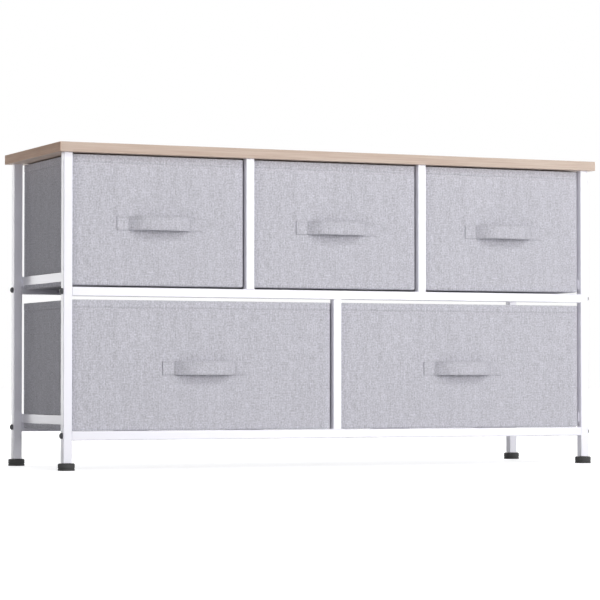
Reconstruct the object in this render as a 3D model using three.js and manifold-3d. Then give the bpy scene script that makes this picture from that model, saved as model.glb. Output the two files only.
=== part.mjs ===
// Dresser with five fabric drawers in a white square-tube steel frame, under one wood-look board.
// Millimetres, +Z up. The drawers open toward -Y.
// The origin is on the floor, under the middle of the dresser.
import * as THREE from "three";
import { mergeVertices } from "three/addons/utils/BufferGeometryUtils.js";
import Module from "manifold-3d";

const wasm = await Module();
wasm.setup();

// Overall sizes and the top board
const overallHeight = 535;
const boardWidth = 1000;
const boardDepth = 300;
const boardThick = 16;
const boardOverhang = 10;
const boardCorner = 2;
const boardEdgeRound = 0.8;

// Square tube of the frame
const tube = 15;
const tubeWall = 1.2;
const tubeCorner = 1.5;
const endPlate = 3;

// Levels of the rails, all measured to the top of a rail
const lowerRailTop = 64;
const lowerTierExtra = 1;
const rearRailRise = 10;
const sideRailRise = 25;

// Flat side rails, on the inner faces of the legs
const sideRailHeight = 15;
const sideRailThick = 2;

// Flat bars that carry the drawers
const barWidth = 20;
const barThick = 2.5;
const barSpreadShare = 0.22;
const barStepShare = 0.3;
const barStepRun = 12;

// Drawers
const upperNames = ["left", "middle", "right"];
const lowerNames = ["left", "right"];
const drawerRecess = 6;
const drawerSlideGap = 0.5;
const drawerHeadroom = 2.1;
const drawerStopGap = 0.7;
const drawerWall = 3;
const drawerFrontWall = 5;
const drawerCorner = 4;
const drawerToeRadius = 4;
const drawerHeelRadius = 10;
const drawerFloorThick = 3;
const drawerFloorGap = 0.5;

// Strap handles
const strapLength = 152;
const strapHeight = 22.5;
const strapThick = 2.5;
const strapTab = 22;
const strapRamp = 18;
const strapReach = 22;
const strapHeightShare = 0.48;

// Levelling feet
const footRadius = 14;
const footHeight = 12;
const footEdge = 1;
const studRadius = 3;
const studLength = 26;

// Bolts through the legs into the rails
const boltHeadRadius = 5;
const boltHeadHeight = 4.5;
const boltShankRadius = 3;
const boltTail = 8;

// Plugs in the posts, whose pegs hold the board
const plugDepth = 18;
const pegRadius = 4;
const pegHeight = 8;
const pegHoleSpare = 1;

// Clearances
const restGap = 0.4;
const boreGap = 0.3;
const plugGap = 0.2;
const overrun = 5;

// Steps of the round stretches, as plain counts
const cornerSteps = 2;
const edgeSteps = 4;
const boreSteps = 8;
const turnSteps = 24;
const domeSteps = 4;
const rampSteps = 8;

// Derived sizes and places of the frame
const frameWidth = boardWidth - 2 * boardOverhang;
const frameDepth = boardDepth - 2 * boardOverhang;
const boardUnderside = overallHeight - boardThick;
const legBottom = footHeight + restGap;
const railLength = frameWidth - 2 * tube;
const frameFront = -frameDepth / 2;
const postMiddleX = (frameWidth - tube) / 2;
const postMiddleY = (frameDepth - tube) / 2;
const sideRailLength = 2 * postMiddleY;
const sideRailMiddleX = frameWidth / 2 - tube - sideRailThick / 2;
const barLength = frameDepth - 2 * tube;

// The two openings share the height under the board, the lower one a little taller
const tierPitch = (boardUnderside - lowerRailTop + tube + lowerTierExtra) / 2;
const upperRailTop = lowerRailTop + tierPitch;

// Derived places of the drawers
const drawerFront = frameFront + drawerRecess;
const drawerBack = frameDepth / 2 - tube - drawerStopGap;
const drawerDepth = drawerBack - drawerFront;
const drawerSideGap = sideRailThick + drawerSlideGap;
const lowerFloorLevel = lowerRailTop + restGap;
const upperFloorLevel = upperRailTop + barThick + restGap;
const lowerClear = upperRailTop - tube - lowerFloorLevel;
const upperClear = boardUnderside - upperFloorLevel;
const drawerHeight = Math.min(lowerClear, upperClear) - drawerHeadroom;

// The straps reach out past the board, so the middle of the whole dresser lies a little
// in front of the frame's
const strapFront = drawerFront - strapReach;
const wholeFront = Math.min(-boardDepth / 2, strapFront);
const middleShift = -(wholeFront + boardDepth / 2) / 2;

// Finishes
const whiteSteel = new THREE.MeshStandardMaterial({ color: 0xf2f2f5, roughness: 0.4, metalness: 0.1 });
const paleOak = new THREE.MeshStandardMaterial({ color: 0xd2beaf, roughness: 0.6, metalness: 0 });
const greyLinen = new THREE.MeshStandardMaterial({ color: 0xc5c4cc, roughness: 0.95, metalness: 0 });
const greyLining = new THREE.MeshStandardMaterial({ color: 0xb4b4b8, roughness: 0.95, metalness: 0 });
const blackPlastic = new THREE.MeshStandardMaterial({ color: 0x2c2c2e, roughness: 0.5, metalness: 0 });

// A closed geometry as a solid that can be joined and cut
function solidOf(geometry) {
  const bare = geometry.index ? geometry.toNonIndexed() : geometry.clone();
  bare.deleteAttribute("normal");
  bare.deleteAttribute("uv");
  const merged = mergeVertices(bare);
  const index = merged.index.array;
  const kept = [];
  for (let i = 0; i < index.length; i += 3) {
    const [a, b, c] = [index[i], index[i + 1], index[i + 2]];
    if (a !== b && b !== c && c !== a) kept.push(a, b, c);
  }
  const mesh = new wasm.Mesh({
    numProp: 3,
    vertProperties: merged.attributes.position.array,
    triVerts: new Uint32Array(kept),
  });
  return new wasm.Manifold(mesh);
}

// A solid as a geometry for a mesh
function geometryOf(solid) {
  const mesh = solid.getMesh();
  const geometry = new THREE.BufferGeometry();
  geometry.setAttribute("position", new THREE.BufferAttribute(mesh.vertProperties, 3));
  geometry.setIndex(new THREE.BufferAttribute(mesh.triVerts, 1));
  geometry.computeVertexNormals();
  return geometry;
}

// A rectangle with round corners, about the origin
function roundedRectangle(width, height, corner) {
  const x = width / 2 - corner;
  const y = height / 2 - corner;
  const shape = new THREE.Shape();
  shape.absarc(x, y, corner, 0, Math.PI / 2);
  shape.absarc(-x, y, corner, Math.PI / 2, Math.PI);
  shape.absarc(-x, -y, corner, Math.PI, 1.5 * Math.PI);
  shape.absarc(x, -y, corner, 1.5 * Math.PI, 2 * Math.PI);
  shape.closePath();
  return shape;
}

// A shape in X and Y, drawn up along Z from zero
function extruded(shape, length, steps) {
  const settings = { depth: length, bevelEnabled: false, curveSegments: steps };
  return new THREE.ExtrudeGeometry(shape, settings);
}

// Turns a piece drawn along Z so that it runs along X, with its own X along Y and its own Y along Z
function alongX(geometry) {
  const basis = new THREE.Matrix4();
  basis.makeBasis(new THREE.Vector3(0, 1, 0), new THREE.Vector3(0, 0, 1), new THREE.Vector3(1, 0, 0));
  return geometry.applyMatrix4(basis);
}

// A round rod along Z from zero
function rod(radius, length) {
  const circle = new THREE.Shape();
  circle.absarc(0, 0, radius, 0, 2 * Math.PI);
  return extruded(circle, length, boreSteps);
}

// A length of the frame's square tube along Z from zero
function squareTube(length) {
  const section = roundedRectangle(tube, tube, tubeCorner);
  const inner = tube - 2 * tubeWall;
  section.holes.push(roundedRectangle(inner, inner, Math.max(tubeCorner - tubeWall, 0)));
  return extruded(section, length, cornerSteps);
}

// A plate that closes a tube's end, let into the middle of its wall
function closingPlate() {
  const side = tube - tubeWall;
  return new THREE.BoxGeometry(side, side, endPlate).translate(0, 0, endPlate / 2);
}

// Adds one named mesh to a group
function addPart(group, name, geometry, material, x, y, z) {
  const mesh = new THREE.Mesh(geometry, material);
  mesh.name = name;
  mesh.position.set(x, y, z);
  group.add(mesh);
  return mesh;
}

// Levels of the cross rails' centres at the front and at the rear, upper and lower
const railLevels = {
  front: { upper: upperRailTop - tube / 2, lower: lowerRailTop - tube / 2 },
  rear: {
    upper: upperRailTop + rearRailRise - tube / 2,
    lower: lowerRailTop + rearRailRise - tube / 2,
  },
};
const sides = { left: -1, right: 1 };
const faces = { front: -1, rear: 1 };

// A leg: a tube with a threaded plate at its foot and two pairs of bolt holes
function legSolid(face) {
  const length = boardUnderside - legBottom;
  const plateBore = rod(studRadius + boreGap, endPlate + 2 * overrun).translate(0, 0, -overrun);
  let leg = solidOf(squareTube(length)).add(solidOf(closingPlate()));
  leg = leg.subtract(solidOf(plateBore));
  for (const level of Object.values(railLevels[face])) {
    const hole = alongX(rod(boltShankRadius + boreGap, tube + 2 * overrun));
    hole.translate(-tube / 2 - overrun, 0, level - legBottom);
    leg = leg.subtract(solidOf(hole));
  }
  return leg;
}

// A cross rail: a tube with a threaded plate in each end for the bolts
function railSolid() {
  const rail = squareTube(railLength);
  const nearPlate = closingPlate();
  const farPlate = closingPlate().translate(0, 0, railLength - endPlate);
  const bore = rod(boltShankRadius + boreGap, railLength + 2 * overrun).translate(0, 0, -overrun);
  const solid = solidOf(rail).add(solidOf(nearPlate)).add(solidOf(farPlate));
  return solid.subtract(solidOf(bore));
}

// A flat bar along Y from zero, between the front and rear rails, its top level with zero
function flatBarGeometry() {
  return new THREE.BoxGeometry(barWidth, barLength, barThick).translate(0, barLength / 2, -barThick / 2);
}

// The same bar with a step up by its own thickness, out of sight behind the front rail
function steppedBarGeometry() {
  const stepStart = barStepShare * barLength;
  const stepEnd = stepStart + barStepRun;
  const profile = new THREE.Shape();
  profile.moveTo(0, 0);
  profile.lineTo(0, -barThick);
  profile.lineTo(stepStart, -barThick);
  profile.lineTo(stepEnd, 0);
  profile.lineTo(barLength, 0);
  profile.lineTo(barLength, barThick);
  profile.lineTo(stepEnd, barThick);
  profile.lineTo(stepStart, 0);
  profile.closePath();
  return alongX(extruded(profile, barWidth, cornerSteps)).translate(-barWidth / 2, 0, 0);
}

// A domed bolt along Y: the head stands up from zero, the shank runs down
function boltGeometry() {
  const reach = tube + endPlate + boltTail;
  const points = [new THREE.Vector2(0, -reach), new THREE.Vector2(boltShankRadius, -reach)];
  points.push(new THREE.Vector2(boltShankRadius, 0));
  for (let i = 0; i <= domeSteps; i++) {
    const angle = (i / domeSteps) * (Math.PI / 2);
    const radius = i < domeSteps ? boltHeadRadius * Math.cos(angle) : 0;
    points.push(new THREE.Vector2(radius, boltHeadHeight * Math.sin(angle)));
  }
  return new THREE.LatheGeometry(points, turnSteps);
}

// A levelling foot: a round plastic pad moulded on a threaded stud
function footGeometry() {
  const studTop = footHeight + studLength;
  const points = [
    new THREE.Vector2(0, 0),
    new THREE.Vector2(footRadius - footEdge, 0),
    new THREE.Vector2(footRadius, footEdge),
    new THREE.Vector2(footRadius, footHeight - footEdge),
    new THREE.Vector2(footRadius - footEdge, footHeight),
    new THREE.Vector2(studRadius, footHeight),
    new THREE.Vector2(studRadius, studTop),
    new THREE.Vector2(0, studTop),
  ];
  return new THREE.LatheGeometry(points, turnSteps).rotateX(Math.PI / 2);
}

// A plug in a post's top, with the peg that stands up into the board
function pegSolid() {
  const side = tube - 2 * tubeWall - 2 * plugGap;
  const plug = new THREE.BoxGeometry(side, side, plugDepth).translate(0, 0, -plugDepth / 2);
  const peg = rod(pegRadius, plugDepth + pegHeight).translate(0, 0, -plugDepth);
  return solidOf(plug).add(solidOf(peg));
}

// The board, with a blind hole over each post
function boardSolid(posts) {
  const outline = roundedRectangle(
    boardWidth - 2 * boardEdgeRound,
    boardDepth - 2 * boardEdgeRound,
    boardCorner - boardEdgeRound,
  );
  const slab = new THREE.ExtrudeGeometry(outline, {
    depth: boardThick - 2 * boardEdgeRound,
    bevelEnabled: true,
    bevelThickness: boardEdgeRound,
    bevelSize: boardEdgeRound,
    bevelSegments: cornerSteps,
    curveSegments: cornerSteps,
  });
  slab.translate(0, 0, boardEdgeRound);
  let board = solidOf(slab);
  for (const post of posts) {
    const hole = rod(pegRadius + boreGap, overrun + pegHeight + pegHoleSpare);
    board = board.subtract(solidOf(hole.translate(post.x, post.y, -overrun)));
  }
  return board;
}

// A drawer's stiffened fabric box: its front at y = 0, its underside at z = 0, open at the top
function drawerBoxSolid(width) {
  const profile = new THREE.Shape();
  profile.moveTo(0, drawerHeight);
  profile.lineTo(0, drawerToeRadius);
  profile.absarc(drawerToeRadius, drawerToeRadius, drawerToeRadius, Math.PI, 1.5 * Math.PI);
  const heel = drawerHeelRadius;
  profile.absarc(drawerDepth - heel, heel, heel, 1.5 * Math.PI, 2 * Math.PI);
  profile.lineTo(drawerDepth, drawerHeight);
  profile.closePath();
  const body = alongX(extruded(profile, width, edgeSteps)).translate(-width / 2, 0, 0);
  const plan = roundedRectangle(width, drawerDepth, drawerCorner);
  const column = extruded(plan, drawerHeight + 2 * overrun, edgeSteps);
  column.translate(0, drawerDepth / 2, -overrun);

  const innerDepth = drawerDepth - drawerFrontWall - drawerWall;
  const innerHeel = Math.max(drawerHeelRadius - drawerWall, 0);
  const hollow = new THREE.Shape();
  hollow.moveTo(drawerFrontWall, drawerHeight + overrun);
  hollow.lineTo(drawerFrontWall, drawerWall);
  const innerBack = drawerFrontWall + innerDepth;
  hollow.absarc(innerBack - innerHeel, drawerWall + innerHeel, innerHeel, 1.5 * Math.PI, 2 * Math.PI);
  hollow.lineTo(innerBack, drawerHeight + overrun);
  hollow.closePath();
  const innerWidth = width - 2 * drawerWall;
  const space = alongX(extruded(hollow, innerWidth, edgeSteps)).translate(-innerWidth / 2, 0, 0);
  return solidOf(body).intersect(solidOf(column)).subtract(solidOf(space));
}

// The stiff board that lies in a drawer, short of the round heel
function drawerFloorGeometry(width) {
  const boardX = width - 2 * drawerWall - 2 * drawerFloorGap;
  const boardY = drawerDepth - drawerFrontWall - Math.max(drawerHeelRadius, drawerWall) - 2 * drawerFloorGap;
  const box = new THREE.BoxGeometry(boardX, boardY, drawerFloorThick);
  const y = drawerFrontWall + drawerFloorGap + boardY / 2;
  return box.translate(0, y, drawerWall + restGap + drawerFloorThick / 2);
}

// How far the strap stands off the drawer's front at a distance from the strap's middle
function strapLift(distance) {
  const rampStart = strapLength / 2 - strapTab;
  const share = Math.min(Math.max((rampStart - distance) / strapRamp, 0), 1);
  const smoothShare = share * share * (3 - 2 * share);
  return (strapReach - strapThick - restGap) * smoothShare;
}

// A strap handle seen from above: two sewn tabs, and a bridge that stands off for the fingers
function strapGeometry() {
  const half = strapLength / 2;
  const stations = [half];
  for (let i = 0; i <= rampSteps; i++) stations.push(half - strapTab - (i / rampSteps) * strapRamp);
  const path = stations.map((x) => ({ x, y: -restGap - strapLift(x) }));
  const right = path.map((point) => new THREE.Vector2(point.x, point.y));
  const inner = right.concat(right.map((point) => new THREE.Vector2(-point.x, point.y)).reverse());
  const outer = inner.map((point, i) => {
    const before = inner[Math.max(i - 1, 0)];
    const after = inner[Math.min(i + 1, inner.length - 1)];
    const normal = new THREE.Vector2(before.y - after.y, after.x - before.x).normalize();
    return point.clone().addScaledVector(normal, strapThick);
  });
  const outline = new THREE.Shape(inner.concat(outer.reverse()));
  return extruded(outline, strapHeight, cornerSteps).translate(0, 0, -strapHeight / 2);
}

// Bays between the posts: their middles in X and their width
function bays(names) {
  const width = (frameWidth - (names.length + 1) * tube) / names.length;
  return names.map((name, i) => ({
    name,
    width,
    middle: -frameWidth / 2 + tube + width / 2 + i * (width + tube),
  }));
}
const tiers = [
  {
    name: "upper",
    bays: bays(upperNames),
    railTop: upperRailTop,
    postTop: boardUnderside,
    barGeometry: steppedBarGeometry,
    floorLevel: upperFloorLevel,
  },
  {
    name: "lower",
    bays: bays(lowerNames),
    railTop: lowerRailTop,
    postTop: upperRailTop - tube,
    barGeometry: flatBarGeometry,
    floorLevel: lowerFloorLevel,
  },
];

// The frame with its board
function buildFrame() {
  const frame = new THREE.Group();
  const posts = [];

  for (const [face, faceSign] of Object.entries(faces)) {
    for (const [side, sideSign] of Object.entries(sides)) {
      const x = sideSign * postMiddleX;
      const y = faceSign * postMiddleY;
      addPart(frame, `leg_${face}_${side}`, geometryOf(legSolid(face)), whiteSteel, x, y, legBottom);
      posts.push({ name: `${face}_${side}`, x, y });
    }
  }

  for (const [face, faceSign] of Object.entries(faces)) {
    for (const [level, z] of Object.entries(railLevels[face])) {
      const y = faceSign * postMiddleY;
      const rail = alongX(geometryOf(railSolid()));
      addPart(frame, `${face}_rail_${level}`, rail, whiteSteel, -railLength / 2, y, z);
      for (const [side, sideSign] of Object.entries(sides)) {
        const bolt = boltGeometry().rotateZ((-sideSign * Math.PI) / 2);
        const x = sideSign * (frameWidth / 2);
        addPart(frame, `bolt_${face}_${level}_${side}`, geometryOf(solidOf(bolt)), blackPlastic, x, y, z);
      }
    }
  }

  for (const tier of tiers) {
    for (const [side, sideSign] of Object.entries(sides)) {
      const rail = new THREE.BoxGeometry(sideRailThick, sideRailLength, sideRailHeight);
      const x = sideSign * sideRailMiddleX;
      const z = tier.railTop + sideRailRise - sideRailHeight / 2;
      addPart(frame, `side_rail_${tier.name}_${side}`, rail, whiteSteel, x, 0, z);
    }
    tier.bays.slice(0, -1).forEach((bay, i) => {
      const x = bay.middle + bay.width / 2 + tube / 2;
      const divider = squareTube(tier.postTop - tier.railTop);
      const name = `divider_${tier.name}_${i + 1}`;
      addPart(frame, name, divider, whiteSteel, x, -postMiddleY, tier.railTop);
      if (tier.postTop === boardUnderside) posts.push({ name, x, y: -postMiddleY });
    });
    tier.bays.forEach((bay) => {
      for (const [side, sideSign] of Object.entries(sides)) {
        const x = bay.middle + sideSign * barSpreadShare * bay.width;
        const name = `bar_${tier.name}_${bay.name}_${side}`;
        addPart(frame, name, tier.barGeometry(), whiteSteel, x, -barLength / 2, tier.railTop);
      }
    });
  }

  for (const post of posts) {
    const peg = geometryOf(pegSolid());
    addPart(frame, `board_peg_${post.name}`, peg, blackPlastic, post.x, post.y, boardUnderside);
  }
  addPart(frame, "top_board", geometryOf(boardSolid(posts)), paleOak, 0, 0, boardUnderside);
  return frame;
}

// The four levelling feet
function buildFeet() {
  const feet = new THREE.Group();
  for (const [face, faceSign] of Object.entries(faces)) {
    for (const [side, sideSign] of Object.entries(sides)) {
      const foot = geometryOf(solidOf(footGeometry()));
      const x = sideSign * postMiddleX;
      const y = faceSign * postMiddleY;
      addPart(feet, `foot_${face}_${side}`, foot, blackPlastic, x, y, 0);
    }
  }
  return feet;
}

// The drawers: a box, the board in it and the strap on its front
function buildDrawers() {
  const drawers = new THREE.Group();
  for (const tier of tiers) {
    for (const bay of tier.bays) {
      const name = `drawer_${tier.name}_${bay.name}`;
      const width = bay.width - 2 * drawerSideGap;
      const drawer = new THREE.Group();
      drawer.position.set(bay.middle, drawerFront, tier.floorLevel);
      addPart(drawer, `${name}_box`, geometryOf(drawerBoxSolid(width)), greyLinen, 0, 0, 0);
      addPart(drawer, `${name}_floor`, drawerFloorGeometry(width), greyLining, 0, 0, 0);
      addPart(drawer, `${name}_strap`, strapGeometry(), greyLinen, 0, 0, strapHeightShare * drawerHeight);
      drawers.add(drawer);
    }
  }
  return drawers;
}

const dresser = new THREE.Group();
dresser.name = "fabric_drawer_dresser";
dresser.position.y = middleShift;
dresser.add(buildFrame(), buildFeet(), buildDrawers());

export default dresser;
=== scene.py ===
"""Looks of a dresser with five linen drawers in a white steel frame under a wood-look board.

Lengths are in metres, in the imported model's own frame: +Z up, the drawers open toward -Y.
"""

import logging
import math
import random
from dataclasses import dataclass, field
from enum import Enum
from functools import cache
from typing import Any, Sequence

import bmesh
import bpy
import numpy as np
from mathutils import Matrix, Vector


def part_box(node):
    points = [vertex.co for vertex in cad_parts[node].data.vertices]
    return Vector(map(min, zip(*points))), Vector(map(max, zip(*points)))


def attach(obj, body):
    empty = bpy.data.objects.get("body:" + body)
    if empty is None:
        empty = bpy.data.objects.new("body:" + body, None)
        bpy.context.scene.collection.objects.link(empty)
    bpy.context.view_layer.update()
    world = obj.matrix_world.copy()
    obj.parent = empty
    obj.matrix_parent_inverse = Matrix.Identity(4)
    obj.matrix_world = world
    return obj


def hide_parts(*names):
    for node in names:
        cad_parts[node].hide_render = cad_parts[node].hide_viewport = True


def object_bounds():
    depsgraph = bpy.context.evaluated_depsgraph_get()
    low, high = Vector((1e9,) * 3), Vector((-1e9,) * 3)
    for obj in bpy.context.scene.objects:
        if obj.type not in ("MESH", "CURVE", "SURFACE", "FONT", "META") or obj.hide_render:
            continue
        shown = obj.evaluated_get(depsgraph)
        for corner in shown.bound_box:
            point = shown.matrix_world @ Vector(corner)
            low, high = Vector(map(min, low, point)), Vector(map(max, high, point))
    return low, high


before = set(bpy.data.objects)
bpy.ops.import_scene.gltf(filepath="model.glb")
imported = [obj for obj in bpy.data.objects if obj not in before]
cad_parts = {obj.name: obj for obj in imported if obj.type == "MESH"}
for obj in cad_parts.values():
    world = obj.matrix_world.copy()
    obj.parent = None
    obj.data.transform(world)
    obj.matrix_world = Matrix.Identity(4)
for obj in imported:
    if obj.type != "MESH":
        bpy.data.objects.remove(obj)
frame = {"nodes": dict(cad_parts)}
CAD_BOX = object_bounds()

LOG = logging.getLogger("dresser")
MM = 0.001
PLACE_UV = "place_m"
THREAD_SIDES = 6

Colour = tuple[float, float, float, float]
WHITE: Colour = (1.0, 1.0, 1.0, 1.0)


def paint(red: float, green: float, blue: float) -> Colour:
    """A colour as the screen shows it, from 0 to 255 a channel.

    Args:
        red: Red, 0 to 255.
        green: Green, 0 to 255.
        blue: Blue, 0 to 255.

    Returns:
        The same colour in linear light, for a shader's socket.
    """

    def linear(value: float) -> float:
        """One channel in linear light."""
        share = value / 255
        return share / 12.92 if share <= 0.04045 else ((share + 0.055) / 1.055) ** 2.4

    return (linear(red), linear(green), linear(blue), 1.0)


class Side(Enum):
    """The two ends of the dresser, by the sign of their X."""

    LEFT = -1
    RIGHT = 1


class Face(Enum):
    """The front and the rear of the frame, by the sign of their Y."""

    FRONT = -1
    REAR = 1


class Grain(Enum):
    """What the wood's grain follows: the room's X, or the length of an edge band."""

    ALONG_BOARD = "along_board"
    ALONG_BAND = "along_band"


# Shader nodes


class Bench:
    """A node tree at work, with short calls that add a node and join it up."""

    def __init__(self, tree: bpy.types.NodeTree) -> None:
        """Keeps the tree that the nodes go into."""
        self.tree = tree

    def node(
        self, kind: str, inputs: dict[Any, Any] | None = None, **settings: Any
    ) -> bpy.types.Node:
        """Adds a node.

        Args:
            kind: The node's type.
            inputs: Values or sockets by the input's name or number.
            **settings: The node's own settings.

        Returns:
            The new node.
        """
        made = self.tree.nodes.new(kind)
        for name, value in settings.items():
            setattr(made, name, value)
        for key, value in (inputs or {}).items():
            self.feed(made.inputs[key], value)
        return made

    def feed(self, socket: bpy.types.NodeSocket, value: Any) -> None:
        """Links an input to another socket, or sets it to a plain value.

        Args:
            socket: The input.
            value: The socket or the value that it gets.
        """
        if isinstance(value, bpy.types.NodeSocket):
            self.tree.links.new(value, socket)
        else:
            socket.default_value = value

    def fill(self, node: bpy.types.Node, **values: Any) -> None:
        """Feeds a node's inputs by name; an underscore in a name is a space."""
        for name, value in values.items():
            self.feed(node.inputs[name.replace("_", " ")], value)

    def on_skin(self) -> bpy.types.NodeSocket:
        """The place in metres along the piece's own skin."""
        return self.node("ShaderNodeUVMap", uv_map=PLACE_UV).outputs[0]

    def in_frame(self) -> bpy.types.NodeSocket:
        """The place in metres in the dresser's frame."""
        return self.node("ShaderNodeTexCoord").outputs["Object"]

    def calc(self, operation: str, *values: Any, clamp: bool = False) -> bpy.types.NodeSocket:
        """The result of one sum on numbers."""
        inputs = dict(enumerate(values))
        return self.node("ShaderNodeMath", inputs, operation=operation, use_clamp=clamp).outputs[0]

    def swing(self, value: Any) -> bpy.types.NodeSocket:
        """A number from 0 to 1, shifted so that it swings round 0."""
        return self.calc("SUBTRACT", value, 0.5)

    def rise(self, value: Any, low: float, high: float) -> bpy.types.NodeSocket:
        """0 up to a low value, 1 from a high one, and a straight rise between them."""
        inputs = {0: value, 1: low, 2: high, 3: 0.0, 4: 1.0}
        return self.node("ShaderNodeMapRange", inputs).outputs[0]

    def triple(self, x: Any, y: Any, z: Any) -> bpy.types.NodeSocket:
        """Three numbers as one place."""
        return self.node("ShaderNodeCombineXYZ", {0: x, 1: y, 2: z}).outputs[0]

    def stretch(self, place: Any, factors: Any) -> bpy.types.NodeSocket:
        """A place multiplied by a factor for each axis."""
        made = self.node("ShaderNodeVectorMath", {0: place, 1: factors}, operation="MULTIPLY")
        return made.outputs[0]

    def noise(self, place: Any, factors: Any, detail: float = 1.0) -> bpy.types.NodeSocket:
        """Soft noise from 0 to 1, with a number of grains a metre along each axis."""
        inputs = {"Vector": self.stretch(place, factors), "Scale": 1.0, "Detail": detail}
        return self.node("ShaderNodeTexNoise", inputs).outputs[0]

    def blend(self, share: Any, first: Any, second: Any) -> bpy.types.NodeSocket:
        """A colour between two, by a share."""
        inputs = {0: share, 6: first, 7: second}
        return self.node("ShaderNodeMix", inputs, data_type="RGBA").outputs[2]

    def between(self, share: Any, first: Any, second: Any) -> bpy.types.NodeSocket:
        """A number between two, by a share."""
        inputs = {0: share, 2: first, 3: second}
        return self.node("ShaderNodeMix", inputs, data_type="FLOAT").outputs[0]

    def tinted(self, colour: Colour, tone: Any) -> bpy.types.NodeSocket:
        """A colour made lighter or darker.

        Args:
            colour: The colour.
            tone: What it is multiplied by, round 1.

        Returns:
            The new colour.
        """
        grey = self.node("ShaderNodeCombineColor", {0: tone, 1: tone, 2: tone}).outputs[0]
        inputs = {0: 1.0, 6: colour, 7: grey}
        made = self.node("ShaderNodeMix", inputs, data_type="RGBA", blend_type="MULTIPLY")
        return made.outputs[2]

    def effect(self, group: bpy.types.NodeTree, **values: Any) -> bpy.types.Node:
        """Places a shared effect.

        Args:
            group: The effect.
            **values: Its values or sockets here, by the input's name.

        Returns:
            The node that holds it.
        """
        made = self.node("ShaderNodeGroup", node_tree=group)
        self.fill(made, **values)
        return made

    def bump(self, height: Any, strength: float, depth: float) -> bpy.types.NodeSocket:
        """A normal tilted by a height, whose full scale is a depth in metres."""
        inputs = {"Strength": strength, "Distance": depth, "Height": height}
        return self.node("ShaderNodeBump", inputs).outputs[0]


def open_effect(
    name: str, inputs: Sequence[tuple[str, str, Any]], outputs: Sequence[tuple[str, str]]
) -> tuple[Bench, dict[str, bpy.types.NodeSocket], bpy.types.Node]:
    """Starts a shared effect.

    Args:
        name: The node group's name.
        inputs: Name, kind and usual value of each input.
        outputs: Name and kind of each output.

    Returns:
        The bench, the inputs by name, and the node that takes the outputs.
    """
    tree = bpy.data.node_groups.new(name, "ShaderNodeTree")
    for title, kind, value in inputs:
        socket = tree.interface.new_socket(
            name=title, in_out="INPUT", socket_type="NodeSocket" + kind
        )
        if value is not None:
            socket.default_value = value
    for title, kind in outputs:
        tree.interface.new_socket(name=title, in_out="OUTPUT", socket_type="NodeSocket" + kind)
    bench = Bench(tree)
    given = bench.node("NodeGroupInput")
    sockets = {title: given.outputs[title] for title, _, _ in inputs}
    return bench, sockets, bench.node("NodeGroupOutput")


def close_effect(bench: Bench, result: bpy.types.Node, **values: Any) -> bpy.types.NodeTree:
    """Joins an effect's results to its outputs.

    Args:
        bench: The effect's bench.
        result: The node that takes the outputs.
        **values: A socket for each output's name.

    Returns:
        The finished node group.
    """
    for name, socket in values.items():
        bench.tree.links.new(socket, result.inputs[name])
    return bench.tree


@cache
def weave_effect() -> bpy.types.NodeTree:
    """Plain weave with slubs: thick threads that show as short streaks both ways, and painted
    shade in the hollows between threads.

    Returns:
        The group, with Tone round 1 and Height from 0 to 1.
    """
    bench, given, result = open_effect(
        "plain_weave",
        [
            ("Place", "Vector", None),
            ("Threads", "Float", 1250.0),
            ("Slub", "Float", 0.5),
            ("Mottle", "Float", 0.5),
            ("Warp", "Float", 0.2),
            ("Thread Contrast", "Float", 0.1),
        ],
        [("Tone", "Float"), ("Height", "Float")],
    )
    place = given["Place"]
    count = given["Threads"]
    scale = bench.triple(count, count, 1.0)
    wander = bench.calc("MULTIPLY", bench.noise(place, (160.0, 160.0, 1.0)), 0.7)
    cells = bench.stretch(place, scale)
    loose = bench.node("ShaderNodeVectorMath", {0: cells, 1: wander}, operation="ADD").outputs[0]
    split = bench.node("ShaderNodeSeparateXYZ", {0: loose}).outputs
    ridges = [
        bench.calc("ABSOLUTE", bench.calc("SINE", bench.calc("MULTIPLY", split[i], math.pi)))
        for i in range(2)
    ]
    over = bench.node("ShaderNodeTexChecker", {"Vector": loose, "Scale": 1.0}).outputs[1]
    thread = bench.between(over, ridges[0], ridges[1])
    upright = bench.swing(bench.noise(place, (480.0, 60.0, 1.0)))
    level = bench.swing(bench.noise(place, (60.0, 480.0, 7.0)))
    grains = bench.noise(place, (370.0, 370.0, 3.0), 0.0)
    warp = bench.noise(place, (105.0, 9.0, 5.0), 0.0)
    streaks = bench.calc("MULTIPLY_ADD", level, 0.6, upright)
    tone = bench.calc("MULTIPLY_ADD", streaks, given["Slub"], 1.0)
    tone = bench.calc("MULTIPLY_ADD", bench.swing(grains), given["Mottle"], tone)
    tone = bench.calc("MULTIPLY_ADD", bench.swing(warp), given["Warp"], tone)
    # Painted shade: the tone drops in the hollows between threads, where the thread's height is
    # low.
    relief = bench.calc("SUBTRACT", thread, 0.64)
    tone = bench.calc("MULTIPLY_ADD", relief, given["Thread Contrast"], tone)
    height = bench.calc("MULTIPLY_ADD", streaks, 0.5, thread)
    return close_effect(bench, result, Tone=tone, Height=height)


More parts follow.
